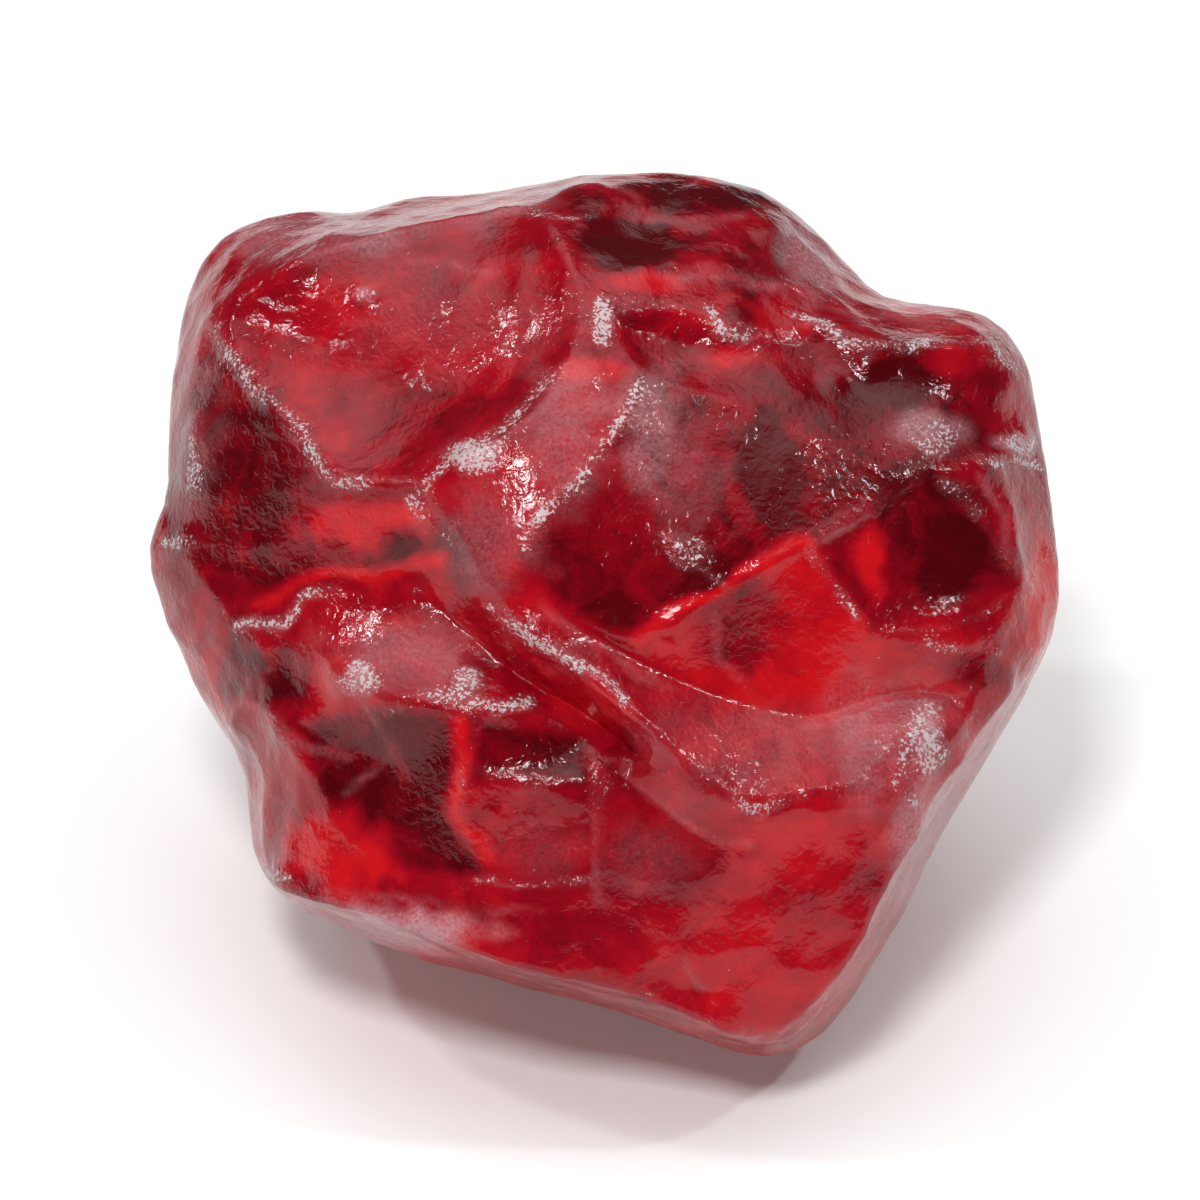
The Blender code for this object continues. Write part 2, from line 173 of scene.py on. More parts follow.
surface = fine_stone(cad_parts["ruby"])
edges = np.empty(len(surface.edges) * 2, dtype=np.int64)
surface.edges.foreach_get("vertices", edges)
edges = edges.reshape(-1, 2)
places = vectors(surface.vertices, "co")
crest = marked(surface, "crest")
crease = marked(surface, "crease")
resting = places[:, 2] < REST_BAND

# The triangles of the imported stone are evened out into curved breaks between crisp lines: in each
# pass a point moves by a share of the way to the mean of its neighbours, less where it is held.
EVENING_PASSES = 8
EVENING_SHARE = 0.6
CREST_HOLD = 0.93
CREASE_HOLD = 0.9
line_hold = np.maximum(CREST_HOLD * crest, CREASE_HOLD * crease) ** 2
hold = np.where(resting, 1.0, line_hold)[:, None]
for _ in range(EVENING_PASSES):
    places += EVENING_SHARE * (1.0 - hold) * (neighbour_mean(places, edges) - places)
surface.vertices.foreach_set("co", places.ravel())

# Where a place lies as seen square-on to the best side, in mm, and how squarely it faces us.
lean_back = Matrix.Rotation(math.radians(90.0 - LEAN), 3, "X")
to_side = np.array(lean_back)
side_view = (places / MM - INSIDE) @ to_side
across, up = side_view.T[:2]
normal = vectors(surface.vertices, "normal")
facing = normal @ to_side[:, 2]

# The best side's facets end short of its rim, and what is painted on it runs out just past it.
best_side = fade(facing, 0.05, 0.35)
seen_side = fade(facing, -0.25, 0.05)

# Shell-shaped breaks: rings of ripples about the point where each break began. Each is
# (across, up) of that point, the nearest and farthest ring, ring spacing and height, in mm.
RIPPLES = {
    "upper hollow": ((-7.4, 10.4), 2.4, 6.4, 0.95, 0.045),
    "lower hollow": ((-8.4, 8.2), 4.0, 8.2, 1.25, 0.040),
    "middle facet": ((-1.6, 6.0), 3.4, 8.0, 1.1, 0.020),
    "red facet": ((9.8, -4.6), 2.8, 7.6, 0.9, 0.020),
    "lower ledge": ((1.2, -9.6), 3.0, 6.2, 0.8, 0.020),
}
# Rings wander by so many mm, are crisper than a sine by this power of it, fade in and out over so
# many mm at their nearest and farthest, and are this low where they are broken.
RING_WANDER = 0.35
RING_CRISPNESS = 0.7
RING_FADE_IN = 0.8
RING_FADE_OUT = 1.2
RING_BROKEN = 0.4
lift = np.zeros(len(places))
for (ring_across, ring_up), near, far, spacing, height in RIPPLES.values():
    reach = np.hypot(across - ring_across, up - ring_up)
    reach += RING_WANDER * grain(side_view, 2.2, seed=5)
    ring = 1.0 - np.abs(np.sin(math.pi * reach / spacing)) ** RING_CRISPNESS
    inside = fade(reach, near, near + RING_FADE_IN) * fade(reach, far, far - RING_FADE_OUT)
    inside *= fade(facing, 0.2, 0.6)
    whole = fade(grain(side_view, 1.6, seed=9), -0.5, 0.6)
    lift += height * ring * inside * (RING_BROKEN + (1.0 - RING_BROKEN) * whole)


def to_stretch(start, end, across, up):
    """The distance of places from the straight stretch between two (across, up) points, measured
    to a place's foot on the stretch or, past its ends, to the nearer end."""
    (ax, ay), (bx, by) = start, end
    run = (across - ax) * (bx - ax) + (up - ay) * (by - ay)
    part = np.clip(run / ((bx - ax) ** 2 + (by - ay) ** 2), 0.0, 1.0)
    return np.hypot(across - ax - part * (bx - ax), up - ay - part * (by - ay))


def within(outline, softness):
    """From 0 outside an outline of (across, up) points to 1 inside it, by the distance to its
    nearest side: a place is inside where a line from it to the right crosses sides an odd
    number of times."""
    corners = np.array(outline)
    nearest = np.full(len(across), np.inf)
    inside = np.zeros(len(across), dtype=bool)
    for (ax, ay), (bx, by) in zip(corners, np.roll(corners, -1, axis=0)):
        nearest = np.minimum(nearest, to_stretch((ax, ay), (bx, by), across, up))
        if ay != by:
            inside ^= ((ay > up) != (by > up)) & (across < ax + (up - ay) * (bx - ax) / (by - ay))
    return fade(np.where(inside, nearest, -nearest), -softness, softness)


# The facets of the best side that broke smooth, by their corners as (across, up) in mm, each
# with the painted shade or painted light on its red, from -1 to 1: deep where the facet lies in
# shade, bright where light comes out of it.
FACETS = {
    "upper left hollow": (-0.15, [
        (-9.0, 7.3), (-8.6, 8.2), (-5.8, 9.4), (-2.2, 10.2), (-1.1, 9.0), (-0.7, 6.6), (-1.6, 5.0),
        (-3.2, 3.6), (-6.2, 3.4), (-8.6, 5.9),
    ]),
    "left face": (-0.6, [
        (-9.5, 7.0), (-8.4, 5.7), (-7.3, 4.5), (-6.3, 3.5), (-4.3, 3.2), (-3.0, 1.6), (-5.0, 1.0),
        (-7.5, 0.8), (-10.4, 0.7), (-10.9, 3.0), (-10.4, 5.6),
    ]),
    "spur": (0.1, [
        (0.8, 6.2), (-1.4, 5.0), (-4.0, 3.2), (-2.4, 0.6), (0.2, -1.6), (2.4, -3.7), (5.6, -2.6),
        (1.2, -1.0), (-1.0, 0.4), (-1.8, 1.6), (-0.8, 3.4), (0.7, 5.0),
    ]),
    "middle facet": (-0.7, [
        (1.0, 5.9), (2.5, 5.5), (7.4, 3.3), (5.1, 1.9), (3.0, 0.9), (1.0, -0.4), (-1.0, 0.4),
        (-1.9, 1.6), (-0.8, 3.2), (0.3, 4.3),
    ]),
    "dark right facet": (-0.6, [
        (5.2, 1.9), (8.0, 3.7), (9.0, 3.1), (10.1, 1.2), (10.0, 0.8), (6.7, -0.2),
    ]),
    "red facet": (0.55, [
        (2.2, 0.2), (5.1, 1.8), (6.6, -0.3), (9.0, -1.7), (7.0, -2.0), (5.7, -2.5), (3.2, -2.0),
        (1.0, -0.8),
    ]),
    "front ledge": (0.0, [
        (1.0, -1.0), (3.0, -2.0), (5.5, -2.6), (7.0, -2.0), (8.9, -2.0), (7.2, -4.2), (3.4, -4.6),
    ]),
    "left lobe": (0.05, [
        (-8.8, -0.3), (-7.5, 0.4), (-4.3, 0.6), (-2.6, -1.0), (-2.5, -1.9), (-5.6, -2.0),
        (-6.7, -0.7),
    ]),
    "dark facet under the lobe": (-0.95, [
        (-7.3, -2.6), (-5.6, -2.1), (-3.1, -2.3), (-3.4, -4.6), (-2.8, -6.2), (-5.0, -6.0),
        (-6.8, -4.2),
    ]),
    "small dark step": (-0.75, [(-3.0, -2.3), (-0.4, -2.9), (-0.3, -3.8), (-3.1, -3.8)]),
    "dark ledges at the top right": (-0.55, [
        (0.4, 7.4), (3.0, 6.9), (6.0, 7.0), (10.0, 6.4), (9.6, 4.2), (7.6, 3.4), (2.6, 5.5),
        (1.0, 6.1),
    ]),
}
# Smaller places, each as (across, up), half width, half height and strength. In these the red is
# painted deep as painted shade, or painted glowing where light comes out.
GLOWS_AND_SHADES = {
    "left face glow": ((-5.7, 2.3), 1.5, 0.5, 1.1),
    "left face dark heart": ((-4.8, 1.9), 0.4, 0.35, -1.2),
    "left face shade": ((-8.8, 3.6), 1.2, 1.6, -0.4),
    "valley left of the spur": ((-3.2, 1.9), 0.7, 1.0, -0.5),
    "top of the upper hollow": ((-5.2, 9.0), 2.6, 0.8, -0.35),
    "foot of the upper hollow": ((-5.0, 5.0), 1.6, 1.0, -0.35),
    "top lump": ((1.8, 9.9), 3.2, 1.2, -0.45),
    "knob at the top": ((-0.4, 10.4), 0.7, 0.45, -0.5),
    "crown of the top lump": ((2.6, 10.5), 1.8, 0.4, -0.8),
    "oval hollow at the top": ((1.0, 9.2), 1.4, 0.5, -1.1),
    "shade by the oval hollow": ((3.6, 8.5), 1.2, 0.6, -0.6),
    "under the top knob": ((1.2, 8.25), 1.0, 0.25, 1.0),
    "head of the spur": ((0.0, 6.1), 0.9, 0.25, 1.0),
    "round step": ((3.3, 7.3), 0.5, 0.45, -1.0),
    "red behind the ledge": ((3.4, 6.4), 0.7, 0.25, 0.9),
    "right hollow": ((7.3, 5.8), 0.9, 0.45, -1.0),
    "right ledge": ((8.9, 6.3), 1.0, 0.3, 0.6),
    "shade of the middle facet": ((4.2, 4.1), 0.6, 1.3, -0.8),
    "right of the middle facet": ((5.6, 5.2), 1.2, 0.7, -0.2),
    "top right corner": ((8.6, 7.4), 1.4, 0.35, 0.4),
    "patch in the dark right facet": ((6.6, 1.3), 0.45, 0.8, 1.6),
    "dark heart of the right facet": ((8.6, 1.4), 0.9, 0.8, -0.6),
    "heart of the red facet": ((5.8, -0.8), 1.3, 1.0, 0.2),
    "left end of the red facet": ((3.3, 0.1), 1.1, 1.1, -1.2),
    "right edge": ((11.0, 0.2), 0.5, 1.4, 1.2),
    "behind the right corner": ((9.3, -1.2), 0.7, 0.35, -0.6),
    "foot of the left lobe": ((-8.3, -1.3), 1.0, 0.7, -0.9),
    "left edge under the lobe": ((-9.6, -1.6), 0.6, 1.0, 0.4),
    "pale lower left face": ((-5.4, -7.8), 2.4, 0.6, 1.0),
    "below the middle of the foot": ((1.2, -6.2), 1.6, 0.9, -0.4),
    "flare": ((-6.4, -5.6), 1.3, 0.9, 1.1),
    "under the front ledge": ((5.0, -5.4), 1.6, 1.0, 0.6),
    "bottom right": ((3.8, -7.8), 2.8, 1.7, 0.5),
    "bottom left": ((-2.0, -7.3), 3.0, 0.6, -0.3),
    "valley by the spur": ((-0.2, -2.2), 0.9, 0.5, 0.5),
}
# In these the break is painted pale: in part a fine frosting, in part painted sheen, painted
# glare and painted reflection of the pale table where its surface mirrors light.
FROSTS_AND_SHEENS = {
    "upper left of the middle facet": ((1.2, 4.7), 0.7, 1.3, 0.38),
    "veil on the middle facet": ((1.8, 3.8), 0.9, 1.3, 0.12),
    "left step facet": ((-1.4, -5.5), 1.1, 0.6, 0.08),
    "right step facet": ((1.3, -5.7), 1.1, 0.7, 0.08),
    "spur": ((-0.8, 4.4), 1.0, 1.5, 0.24),
    "glare at the spur's root": ((-3.2, 4.0), 0.7, 0.3, 0.8),
    "glare on the left lobe": ((-5.8, -1.3), 0.35, 0.4, 0.9),
    "glare on the right lobe": ((-3.2, -1.4), 0.25, 0.25, 0.8),
    "glare at the end of the front ledge": ((7.9, -2.8), 0.45, 0.8, 0.9),
    "glare at the right edge": ((10.2, 4.3), 0.6, 0.2, 0.8),
    "glare in the hollow": ((-5.8, 8.0), 0.25, 0.2, 0.6),
    "foot of the spur": ((-2.6, 2.2), 1.2, 1.2, 0.18),
    "end of the front ledge": ((7.2, -2.9), 1.3, 1.4, 0.28),
    "front ledge": ((3.2, -3.0), 2.2, 1.0, 0.10),
    "left lobe": ((-4.8, -0.7), 1.7, 0.8, 0.22),
    "upper left hollow": ((-3.6, 7.2), 2.6, 0.8, 0.08),
    "band across the hollow": ((-5.0, 8.6), 2.2, 0.4, 0.05),
    "left strip": ((-10.3, 6.6), 0.8, 2.6, 0.2),
    "top left band": ((-7.2, 9.7), 3.0, 0.6, 0.35),
    "ridge by the knob": ((-2.2, 10.2), 0.9, 0.25, 0.35),
    "flank of the top lump": ((5.6, 9.2), 1.0, 1.1, 0.6),
    "right shoulder": ((8.6, 7.6), 1.6, 0.35, 0.25),
    "hollow at the right edge": ((8.1, 4.6), 0.9, 0.4, 0.5),
    "lower left face": ((-5.8, -7.7), 2.2, 0.5, 1.0),
    "right side": ((8.0, -6.2), 0.8, 2.8, 0.5),
}
# In these it is crushed into chips, with glints painted on them as highlights.
CRUSHED_PATCHES = {
    "by the spur's root": ((-3.2, 4.0), 1.0, 0.45, 1.0),
    "left lobe's shoulder": ((-5.8, -1.3), 0.5, 0.45, 0.8),
    "right lobe's shoulder": ((-3.2, -1.4), 0.35, 0.35, 0.8),
    "wall under the top knob": ((0.05, 7.3), 0.25, 0.6, 1.0),
    "end of the front ledge": ((7.9, -2.9), 0.6, 0.9, 0.9),
    "hollow at the right edge": ((8.1, 4.5), 0.8, 0.35, 0.8),
    "tip at the right edge": ((10.3, 4.3), 0.6, 0.25, 1.0),
    "left side": ((-10.1, 3.8), 0.2, 0.9, 0.8),
    "left tip": ((-10.3, 1.9), 0.6, 0.2, 0.9),
    "in the hollow": ((-5.8, 8.0), 0.4, 0.25, 1.0),
    "on the middle facet": ((2.2, 1.6), 0.5, 0.4, 0.6),
    "frosted side of the middle facet": ((1.1, 4.8), 0.3, 1.0, 0.5),
    "left foot": ((-7.9, -6.3), 0.5, 0.15, 0.9),
}
# Edges with a painted glow where light runs along them, by (across, up) points.
GLOWING_EDGES = [
    [(-8.3, 0.4), (-7.4, 0.8), (-6.4, 1.1), (-5.0, 1.2), (-3.8, 1.4)],
    [(0.9, -0.4), (2.0, 0.3), (3.0, 0.9), (4.0, 1.4), (5.1, 1.9)],
    [(-3.4, -2.4), (-3.3, -3.4), (-3.5, -4.6), (-2.9, -5.7)],
]
# Crushed edges, painted white with glints as highlights, each as half width, strength and its
# points.
CRUSHED_EDGES = [
    (0.40, 1.0, [(-9.45, 7.1), (-9.1, 6.4), (-8.4, 5.7)]),
    (0.30, 0.8, [(-8.4, 5.7), (-7.4, 4.6)]),
    (0.40, 1.0, [(-7.4, 4.6), (-6.7, 3.7), (-6.2, 3.4), (-5.6, 3.4)]),
    (0.35, 0.8, [(-4.4, 3.3), (-3.2, 4.0), (-2.3, 4.7), (-1.6, 5.4), (-1.1, 6.0)]),
    (0.35, 0.9, [(-4.5, 3.1), (-4.0, 2.3), (-3.5, 1.8)]),
    (0.32, 1.0, [(0.9, 6.0), (0.6, 5.0), (0.1, 4.1), (-0.6, 3.3), (-1.4, 2.6), (-2.0, 1.7)]),
    (0.20, 0.7, [(1.7, 2.1), (2.4, 1.4), (2.9, 1.0)]),
    (0.25, 1.0, [(-8.85, -0.2), (-7.8, -0.1), (-7.1, 0.5), (-6.4, 0.6)]),
    (0.25, 0.9, [(-5.0, -2.1), (-4.3, -1.7), (-3.3, -1.9), (-2.6, -2.1), (-1.7, -2.1)]),
    (0.28, 1.0, [(-2.6, 0.4), (-1.6, -0.5), (-0.4, -1.2), (0.6, -1.9)]),
    (0.28, 0.9, [(2.7, -3.6), (3.2, -4.2), (3.8, -4.5), (5.0, -4.2)]),
    (0.20, 0.7, [(5.1, 1.8), (5.8, 0.6), (6.65, -0.2)]),
    (0.20, 0.4, [(6.65, -0.2), (8.0, -0.2), (9.4, 0.3), (10.5, 0.8), (11.1, 1.8)]),
    (0.25, 0.8, [(8.0, -0.5), (9.6, -0.85)]),
    (0.30, 0.9, [(8.2, -3.1), (7.6, -2.6), (7.1, -3.9), (7.6, -4.4)]),
    (0.20, 0.6, [(0.2, 7.9), (1.2, 7.9), (1.9, 7.7)]),
    (0.25, 0.9, [(2.5, 7.8), (2.8, 7.1), (3.3, 6.85), (4.0, 6.9)]),
    (0.25, 0.9, [(4.6, 7.5), (6.0, 6.9), (7.3, 6.7), (8.2, 6.8), (9.6, 6.9), (10.3, 6.3)]),
    (0.20, 1.0, [(9.1, 3.8), (10.0, 3.9), (10.8, 3.7)]),
    (0.25, 0.8, [(8.35, 3.4), (9.1, 2.6)]),
    (0.20, 0.9, [(-1.6, 9.8), (-0.2, 9.8)]),
    (0.20, 0.6, [(-3.1, -6.25), (-0.3, -6.3)]),
    (0.20, 0.6, [(-2.0, -4.0), (-1.1, -4.0)]),
]
# Faint pale lines where small steps end and cracks come out, by their points. Along them a little
# glow is painted.
HAIRLINES = [
    [(-0.1, -4.5), (-0.1, -6.7), (1.6, -7.8), (2.5, -8.9)],
    [(0.6, -3.6), (1.8, -4.8), (3.5, -5.3)],
    [(-6.8, -6.7), (-4.3, -6.9), (-1.5, -7.1)],
    [(3.1, -10.1), (5.2, -9.9)],
    [(2.8, 0.0), (2.9, -0.8), (3.6, -1.6)],
    [(-0.9, 10.6), (0.0, 10.9), (0.8, 10.6), (0.9, 10.0)],
    [(1.2, 9.9), (2.6, 9.6), (3.5, 9.9)],
    [(4.0, 10.6), (4.7, 9.8), (5.1, 8.8), (5.9, 8.0), (6.9, 7.8)],
    [(1.3, 8.5), (3.2, 8.3), (5.0, 8.1), (6.4, 7.3)],
    [(1.0, 5.6), (2.2, 5.4), (3.4, 5.2), (4.4, 5.4)],
    [(9.0, 3.4), (9.8, 2.4), (10.4, 1.0)],
    [(5.2, 2.0), (6.5, 2.7), (7.9, 3.6)],
    [(-7.0, 8.7), (-5.0, 9.0), (-3.2, 8.6), (-1.6, 8.9)],
    [(-6.2, 7.2), (-4.4, 7.6), (-2.6, 7.0)],
    [(-5.7, -2.0), (-5.2, -3.2), (-6.2, -4.2)],
    [(-8.6, -1.9), (-7.2, -2.9), (-6.2, -3.3)],
    [(-2.6, 1.6), (-1.4, 0.2), (0.8, -1.2), (2.8, -2.2), (5.4, -2.7)],
]
# Small domes and knobs that catch the light: (across, up), half width and height in mm.
DOMES = [
    ((-5.8, -1.3), 0.7, 0.12),
    ((-3.2, -1.4), 0.5, 0.12),
    ((7.8, -2.8), 1.0, 0.16),
    ((-0.4, 10.2), 0.7, 0.12),
    ((3.3, 7.3), 0.6, 0.20),
    ((8.1, 4.6), 0.7, 0.14),
    ((10.2, 4.3), 0.5, 0.12),
    ((-3.1, 4.1), 0.6, 0.14),
    ((2.0, 1.8), 0.35, 0.10),
    ((-5.8, 8.0), 0.4, 0.10),
    ((4.2, 9.6), 0.5, 0.20),
    ((5.7, 5.8), 0.4, 0.12),
    ((-9.9, 4.6), 0.5, 0.12),
    ((-10.2, 1.9), 0.5, 0.12),
    ((1.8, -0.3), 0.35, 0.10),
    ((9.6, 5.6), 0.5, 0.14),
    ((6.6, 6.3), 0.5, 0.14),
    ((-7.6, -6.3), 0.4, 0.10),
]

# No painted place or line looks drawn: their edges wander at random.
PLACE_WANDER = 0.45
FINE_PLACE_WANDER = 0.3
LINE_WANDER = 0.2
wander = PLACE_WANDER * grain(side_view, 0.9, seed=81)
wander += FINE_PLACE_WANDER * grain(side_view, 0.4, seed=82)
bent_across = across + LINE_WANDER * grain(side_view, 0.9, seed=84)
bent_up = up + LINE_WANDER * grain(side_view, 0.9, seed=85)


def near_line(line, width):
    """1 on a wandering line of (across, up) points, falling to 0 at a distance of width."""
    nearest = np.full(len(across), np.inf)
    for start, end in zip(line[:-1], line[1:]):
        nearest = np.minimum(nearest, to_stretch(start, end, bent_across, bent_up))
    return 1.0 - fade(nearest, 0.0, width)


def patch(middle, width, tall, softness):
    """1 about a middle given as (across, up), falling to 0 over the softness at an edge that
    wanders about the ellipse with this half width and half height."""
    reach = np.hypot((across - middle[0]) / width, (up - middle[1]) / tall)
    return 1.0 - fade(reach + wander, 1.0 - softness, 1.0 + softness)


# The painted light and shade on the red, from about -1 to 1, over a random tone. A painted
# glowing edge glows however deep the painted shade is about it.
FACET_EDGE = 0.25
GLOW_AND_SHADE_SOFTNESS = 0.5
GLOWING_WIDTH = 0.35
light = 0.25 * grain(side_view, 3.4, seed=21) + 0.2 * grain(side_view, 1.3, seed=22)
smooth_break = np.zeros(len(places))
for strength, outline in FACETS.values():
    in_facet = within(outline, FACET_EDGE) * best_side
    smooth_break = np.maximum(smooth_break, in_facet)
    light += strength * in_facet
for middle, width, tall, strength in GLOWS_AND_SHADES.values():
    light += strength * patch(middle, width, tall, GLOW_AND_SHADE_SOFTNESS) * seen_side
edge_glow = np.zeros(len(places))
for line in GLOWING_EDGES:
    edge_glow = np.maximum(edge_glow, near_line(line, GLOWING_WIDTH) * best_side)
light += edge_glow * (1.0 - np.minimum(light, 0.0))

# How pale it is painted, from 0 to 1: a fine frosting in part, and painted sheen and glare in part.
# The hairlines are painted pale and with a little painted glow, and come and go.
FROST_AND_SHEEN_SOFTNESS = 0.6
HAIRLINE_WIDTH = 0.18
HAIRLINE_PALE = 0.16
HAIRLINE_GLOW_WIDTH = 0.2
HAIRLINE_GLOW = 0.15
frost_and_sheen = np.zeros(len(places))
for middle, width, tall, strength in FROSTS_AND_SHEENS.values():
    patch_frost_and_sheen = strength * patch(middle, width, tall, FROST_AND_SHEEN_SOFTNESS) * seen_side
    frost_and_sheen = np.maximum(frost_and_sheen, patch_frost_and_sheen)
unbroken = seen_side * fade(grain(side_view, 0.8, seed=83), -0.5, 0.3)
for line in HAIRLINES:
    frost_and_sheen = np.maximum(frost_and_sheen, HAIRLINE_PALE * near_line(line, HAIRLINE_WIDTH) * unbroken)
    light += HAIRLINE_GLOW * near_line(line, HAIRLINE_GLOW_WIDTH) * unbroken

# How crushed it is, from 0 to 1. All crests are crushed a little. A crushed place is so unevenly,
# down to this least share of its strength, and is painted pale too. The crush also sets where white
# glints are painted as highlights.
CRUSH_SOFTNESS = 0.4
CREST_CRUSH = 0.35
LEAST_CRUSH = 0.45
CRUSHED_PALE = 0.35
crush = CREST_CRUSH * fade(crest, 0.5, 1.0) * fade(grain(side_view, 1.1, seed=62), -0.2, 0.5)
for middle, width, tall, strength in CRUSHED_PATCHES.values():
    patch_crush = strength * patch(middle, width, tall, CRUSH_SOFTNESS) * seen_side
    crush = np.maximum(crush, patch_crush)
for width, strength, line in CRUSHED_EDGES:
    crush = np.maximum(crush, strength * near_line(line, width) * seen_side)
crush *= LEAST_CRUSH + (1.0 - LEAST_CRUSH) * fade(grain(side_view, 0.5, seed=61), -0.6, 0.2)
frost_and_sheen = np.maximum(frost_and_sheen, CRUSHED_PALE * crush ** 2)

# Heights in mm: hollow chips with crisp rims where the stone broke rough, soft swells everywhere,
# and crushed edges that are sunk and knobbly. A smooth facet loses most of its chips, and the rim
# of the view keeps this share of them.
FACET_SMOOTHNESS = 0.85
RIM_CHIPS = 0.4
DOME_FOOT = 1.3
CHIP_HEIGHT = 0.22
SMALL_CHIP_HEIGHT = 0.09
SWELL_HEIGHT = 0.03
SMALL_SWELL_HEIGHT = 0.012
CRUSHED_KNOBS = 0.04
CRUSHED_DEPTH = 0.03
rough_break = 1.0 - FACET_SMOOTHNESS * smooth_break
rough_break *= RIM_CHIPS + (1.0 - RIM_CHIPS) * fade(np.abs(facing), 0.1, 0.5)
lift += CHIP_HEIGHT * rough_break * scoops(side_view, 1.9, seed=31)
lift += SMALL_CHIP_HEIGHT * rough_break * scoops(side_view, 0.9, seed=41)
lift += SWELL_HEIGHT * grain(side_view, 1.9, seed=1)
lift += SMALL_SWELL_HEIGHT * grain(side_view, 0.55, seed=4)
lift += crush * (CRUSHED_KNOBS * grain(side_view, 0.42, seed=51) - CRUSHED_DEPTH)
for (dome_across, dome_up), width, height in DOMES:
    reach = np.hypot(across - dome_across, up - dome_up) / width
    lift += height * (1.0 - fade(reach, 0.0, DOME_FOOT)) * seen_side
lift[resting] = 0.0
places += (lift * MM)[:, None] * normal
places[:, 2] = np.maximum(places[:, 2], 0.0)
surface.vertices.foreach_set("co", places.ravel())

ruby = bpy.data.objects.new("ruby_stone", surface)
bpy.context.scene.collection.objects.link(ruby)
surface.shade_smooth()
for name, values in (("crush", crush), ("frost_and_sheen", frost_and_sheen), ("light", 0.5 + 0.5 * light)):
    layer = surface.attributes.new(name, "FLOAT", "POINT")
    layer.data.foreach_set("value", values)
for name in ("crest", "crease"):
    surface.attributes.remove(surface.attributes[name])

# The crystal: clear red corundum. It drinks in green and blue, so thick places go dark and thin
# ones glow. Fine silk and hairline cracks inside it scatter a share of the light. The sheen is
# how strongly its surface mirrors, beside clean glass.
# The base reds: dark where shade is painted, the stone's own deep red, and glowing where light
# coming out of the stone is painted.
DARK_RED = (0.12, 0.001, 0.005, 1.0)
DEEP_RED = (0.52, 0.003, 0.018, 1.0)
GLOWING_RED = (1.00, 0.012, 0.020, 1.0)
# A pale pink painted for frost and for painted sheen and glare.
FROST_AND_SHEEN_PINK = (0.85, 0.45, 0.50, 1.0)
# White painted for glints, as highlights, and for rare dust specks.
GLINT_AND_DUST_WHITE = (1.00, 0.88, 0.90, 1.0)
SHEEN = (0.30, 0.30, 0.30, 1.0)
SILK_SHARE = 0.5
ABSORBED = (0.80, 0.02, 0.05, 1.0)
ABSORPTION = 150.0
IOR = 1.77

crystal = bpy.data.materials.new("ruby_crystal")
crystal.use_nodes = True
nodes = crystal.node_tree.nodes
link = crystal.node_tree.links.new
shader = nodes["Principled BSDF"]
shader.inputs["IOR"].default_value = IOR
shader.inputs["Specular Tint"].default_value = SHEEN
shader.inputs["Transmission Weight"].default_value = 1.0 - SILK_SHARE
depth = nodes.new("ShaderNodeVolumeAbsorption")
depth.inputs["Color"].default_value = ABSORBED
depth.inputs["Density"].default_value = ABSORPTION
link(depth.outputs["Volume"], nodes["Material Output"].inputs["Volume"])
on_stone = nodes.new("ShaderNodeTexCoord").outputs["Object"]


def painted(name):
    """The number painted on the surface under a name."""
    attribute = nodes.new("ShaderNodeAttribute")
    attribute.attribute_name = name
    return attribute.outputs["Fac"]


def noise(per_metre, detail, distortion, roughness=0.5):
    """Noise from about 0.2 to 0.8, with so many grains in a metre."""
    texture = nodes.new("ShaderNodeTexNoise")
    texture.inputs["Scale"].default_value = per_metre
    texture.inputs["Detail"].default_value = detail
    texture.inputs["Distortion"].default_value = distortion
    texture.inputs["Roughness"].default_value = roughness
    link(on_stone, texture.inputs["Vector"])
    return texture.outputs["Fac"]


def spread(value, start, end, low, high):
    """A value's stretch from start to end, laid evenly from low to high and held at both ends."""
    node = nodes.new("ShaderNodeMapRange")
    node.inputs["From Min"].default_value = start
    node.inputs["From Max"].default_value = end
    node.inputs["To Min"].default_value = low
    node.inputs["To Max"].default_value = high
    link(value, node.inputs["Value"])
    return node.outputs["Result"]


def product(first, second):
    """Two values multiplied."""
    node = nodes.new("ShaderNodeMath")
    node.operation = "MULTIPLY"
    link(first, node.inputs[0])
    link(second, node.inputs[1])
    return node.outputs["Value"]


def covered(under, over, share):
    """A colour with another laid over it by a share from 0 to 1."""
    node = nodes.new("ShaderNodeMix")
    node.data_type = "RGBA"
    node.inputs["B"].default_value = over
    link(under, node.inputs["A"])
    link(share, node.inputs["Factor"])
    return node.outputs["Result"]


# The red goes from dark over deep to glowing by the painted light and shade, with clouds about 1
# mm across.
CLOUDS_PER_METRE = 900.0
CLOUD_SHARE = 0.32
clouds = noise(CLOUDS_PER_METRE, detail=8.0, distortion=0.8, roughness=0.7)
light_and_clouds = nodes.new("ShaderNodeMath")
link(painted("light"), light_and_clouds.inputs[0])
link(spread(clouds, 0.25, 0.75, -CLOUD_SHARE, CLOUD_SHARE), light_and_clouds.inputs[1])
lit_and_clouded_red = nodes.new("ShaderNodeValToRGB")
lit_and_clouded_red.color_ramp.elements[0].color = DARK_RED
lit_and_clouded_red.color_ramp.elements[1].color = GLOWING_RED
lit_and_clouded_red.color_ramp.elements.new(0.5).color = DEEP_RED
link(light_and_clouds.outputs["Value"], lit_and_clouded_red.inputs["Fac"])

